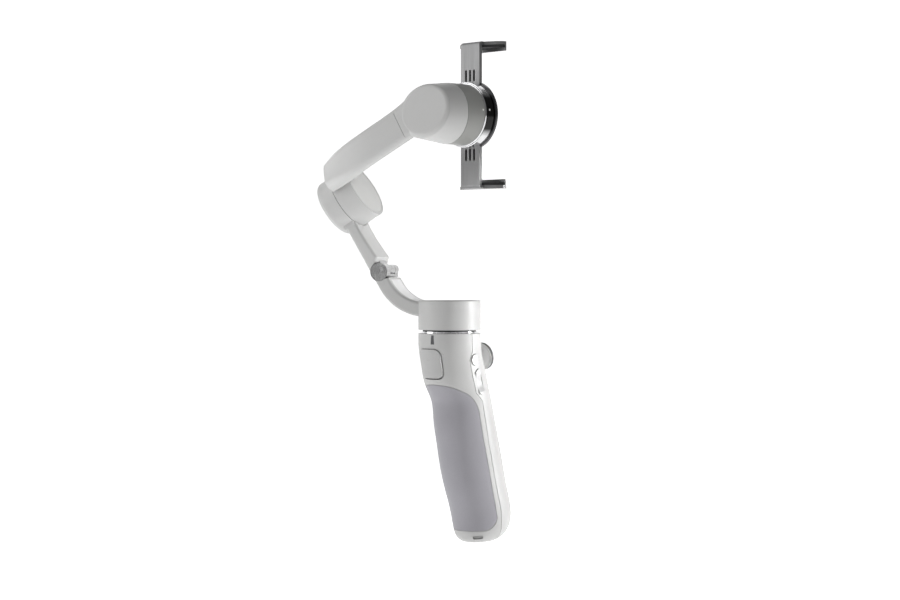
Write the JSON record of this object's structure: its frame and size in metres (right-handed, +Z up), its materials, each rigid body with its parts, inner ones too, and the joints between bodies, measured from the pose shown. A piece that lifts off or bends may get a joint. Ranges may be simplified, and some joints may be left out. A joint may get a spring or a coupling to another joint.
{
  "type": "gimbal stabilizer",
  "caption": "Hand-held three-axis stabilizer for a phone: slanted grip with a telescoping rod, folding arm with three motors and a sprung phone clamp.",
  "frame": {"origin": "centre of the tripod socket's mouth in the base of the grip", "axes": "+Z up along the pan axis's direction, -Y towards the user's side of the grip with the joystick, +Y the trigger's side, X along the phone in landscape"},
  "size_m": [0.1121, 0.0983, 0.293],
  "materials": {
    "cover_grey": "satin",
    "shell_grey": "satin",
    "soft_grip": "soft touch",
    "dark_inlay": "matte",
    "dark_plastic": "gloss",
    "inner_plastic": "matte",
    "light_lens": "translucent",
    "pin_steel": "ground",
    "insert_brass": "turned",
    "tube_alloy": "anodised",
    "battery_wrap": "matte",
    "circuit_board": "solder mask",
    "port_metal": "stamped",
    "screw_steel": "zinc",
    "switch_plastic": "matte",
    "ring_chrome": "polished",
    "carrier_dark": "matte",
    "stator_steel": "laminated",
    "bearing_steel": "ground",
    "arm_grey": "satin",
    "magnet_nickel": "nickel plated",
    "panel_light": "satin",
    "hinge_steel": "turned",
    "cap_light": "satin",
    "motor_grey": "satin",
    "clamp_dark": "gloss",
    "pad_rubber": "matte",
    "spring_steel": "wound",
    "jaw_metal": "brushed, dark",
    "trigger_grey": "satin",
    "stick_grey": "satin",
    "button_grey": "gloss",
    "record_grey": "satin"
  },
  "bodies": {
    "handle": {"front_cover": "cover_grey", "rear_shell": "shell_grey", "grip_pad": "soft_grip", "alignment_mark": "dark_inlay", "joystick_bezel": "dark_plastic", "joystick_base": "inner_plastic", "status_lights": "light_lens", "trigger_pin": "pin_steel", "tripod_insert": "insert_brass", "rod_guide": "tube_alloy", "battery_pack": "battery_wrap", "main_board": "circuit_board", "usb_port": "port_metal", "handle_screws": "screw_steel", "button_switches": "switch_plastic"},
    "rod_stage_1": {"rod_tube_1": "tube_alloy"},
    "rod_stage_2": {"rod_tube_2": "tube_alloy"},
    "rod_stage_3": {"rod_tube_3": "tube_alloy", "pan_base_ring": "ring_chrome", "pan_stator_carrier": "carrier_dark", "pan_stator": "stator_steel", "pan_bearings": "bearing_steel"},
    "pan_arm": {"pan_housing": "arm_grey", "pan_magnets": "magnet_nickel", "pan_shaft": "pin_steel", "lower_arm_cover": "panel_light", "hinge_block": "hinge_steel", "hinge_pin": "pin_steel"},
    "folding_arm": {"folding_arm": "arm_grey", "tilt_stator": "stator_steel", "tilt_bearings": "bearing_steel", "hinge_knuckle": "hinge_steel"},
    "upper_arm": {"upper_arm": "arm_grey", "tilt_cap": "cap_light", "tilt_magnets": "magnet_nickel", "tilt_shaft": "pin_steel", "roll_cover": "arm_grey", "roll_stator": "stator_steel", "roll_bearings": "bearing_steel"},
    "phone_clamp": {"roll_housing": "motor_grey", "roll_magnets": "magnet_nickel", "roll_shaft": "pin_steel", "mount_plate": "ring_chrome", "clamp_body": "clamp_dark", "clamp_ring": "ring_chrome", "clamp_magnet": "magnet_nickel", "clamp_pad": "pad_rubber", "clamp_springs": "spring_steel"},
    "upper_jaw": {"upper_jaw_plate": "jaw_metal", "upper_jaw_pad": "pad_rubber"},
    "lower_jaw": {"lower_jaw_plate": "jaw_metal", "lower_jaw_pad": "pad_rubber"},
    "trigger": {"trigger": "trigger_grey"},
    "joystick_ring": {"joystick_ring": "inner_plastic"},
    "joystick": {"joystick_stem": "pin_steel", "joystick_cap": "stick_grey"},
    "side_button": {"side_button": "button_grey"},
    "zoom_rocker": {"zoom_rocker": "button_grey"},
    "record_button": {"record_button": "record_grey"}
  },
  "joints": [
    {"name": "rod_extend_1", "type": "slide", "parent": "handle", "child": "rod_stage_1", "axis": [0, 0.2436, 0.9699], "range_m": [0, 0.0717]},
    {"name": "rod_extend_2", "type": "slide", "parent": "rod_stage_1", "child": "rod_stage_2", "axis": [0, 0.2436, 0.9699], "range_m": [0, 0.0717]},
    {"name": "rod_extend_3", "type": "slide", "parent": "rod_stage_2", "child": "rod_stage_3", "axis": [0, 0.2436, 0.9699], "range_m": [0, 0.0717]},
    {"name": "pan", "type": "hinge", "parent": "rod_stage_3", "child": "pan_arm", "pos_m": [0, 0.0226, 0.134], "axis": [0, 0, 1], "range_deg": [-161.6, 173.8]},
    {"name": "fold", "type": "hinge", "parent": "pan_arm", "child": "folding_arm", "pos_m": [0.03623, 0.03798, 0.16112], "axis": [0.3907, -0.9205, 0], "range_deg": [0, 60]},
    {"name": "tilt", "type": "hinge", "parent": "folding_arm", "child": "upper_arm", "pos_m": [-0.0139, 0.0167, 0.2505], "axis": [0.7882, 0.3346, -0.5165], "range_deg": [-101.6, 78.6]},
    {"name": "roll", "type": "hinge", "parent": "upper_arm", "child": "phone_clamp", "pos_m": [-0.0139, 0.0167, 0.2505], "axis": [0, 1, 0], "range_deg": [-120.3, 212]},
    {"name": "jaw_open", "type": "slide", "parent": "phone_clamp", "child": "upper_jaw", "axis": [0, 0, 1], "range_m": [-0.0055, 0.003]},
    {"name": "jaw_follow", "type": "slide", "parent": "phone_clamp", "child": "lower_jaw", "axis": [0, 0, -1], "range_m": [-0.0055, 0.003]},
    {"name": "trigger_pull", "type": "hinge", "parent": "handle", "child": "trigger", "pos_m": [0, 0.0367, 0.112], "axis": [-1, 0, 0], "range_deg": [0, 4], "stiffness_Nm_per_rad": 0.3},
    {"name": "joystick_side", "type": "hinge", "parent": "joystick_ring", "child": "joystick", "pos_m": [0, 0.0079, 0.1074], "axis": [0, 0.1736, 0.9848], "range_deg": [-20, 20], "stiffness_Nm_per_rad": 0.03},
    {"name": "joystick_updown", "type": "hinge", "parent": "handle", "child": "joystick_ring", "pos_m": [0, 0.0079, 0.1074], "axis": [1, 0, 0], "range_deg": [-20, 20], "stiffness_Nm_per_rad": 0.03},
    {"name": "side_button_press", "type": "slide", "parent": "handle", "child": "side_button", "axis": [0.9976, 0.0698, 0], "range_m": [0, 0.0005], "stiffness_N_per_m": 1500},
    {"name": "zoom_rock", "type": "hinge", "parent": "handle", "child": "zoom_rocker", "pos_m": [-0.01597, 0.0159, 0.0958], "axis": [0.0833, -0.9518, 0.2952], "range_deg": [-4, 4], "stiffness_Nm_per_rad": 0.1},
    {"name": "record_press", "type": "slide", "parent": "handle", "child": "record_button", "axis": [0, 1, 0], "range_m": [0, 0.0005], "stiffness_N_per_m": 1500}
  ],
  "couplings": [
    {"joint": "rod_extend_2", "follows": "rod_extend_1", "ratio": 1},
    {"joint": "rod_extend_3", "follows": "rod_extend_1", "ratio": 1},
    {"joint": "jaw_follow", "follows": "jaw_open", "ratio": 1}
  ]
}
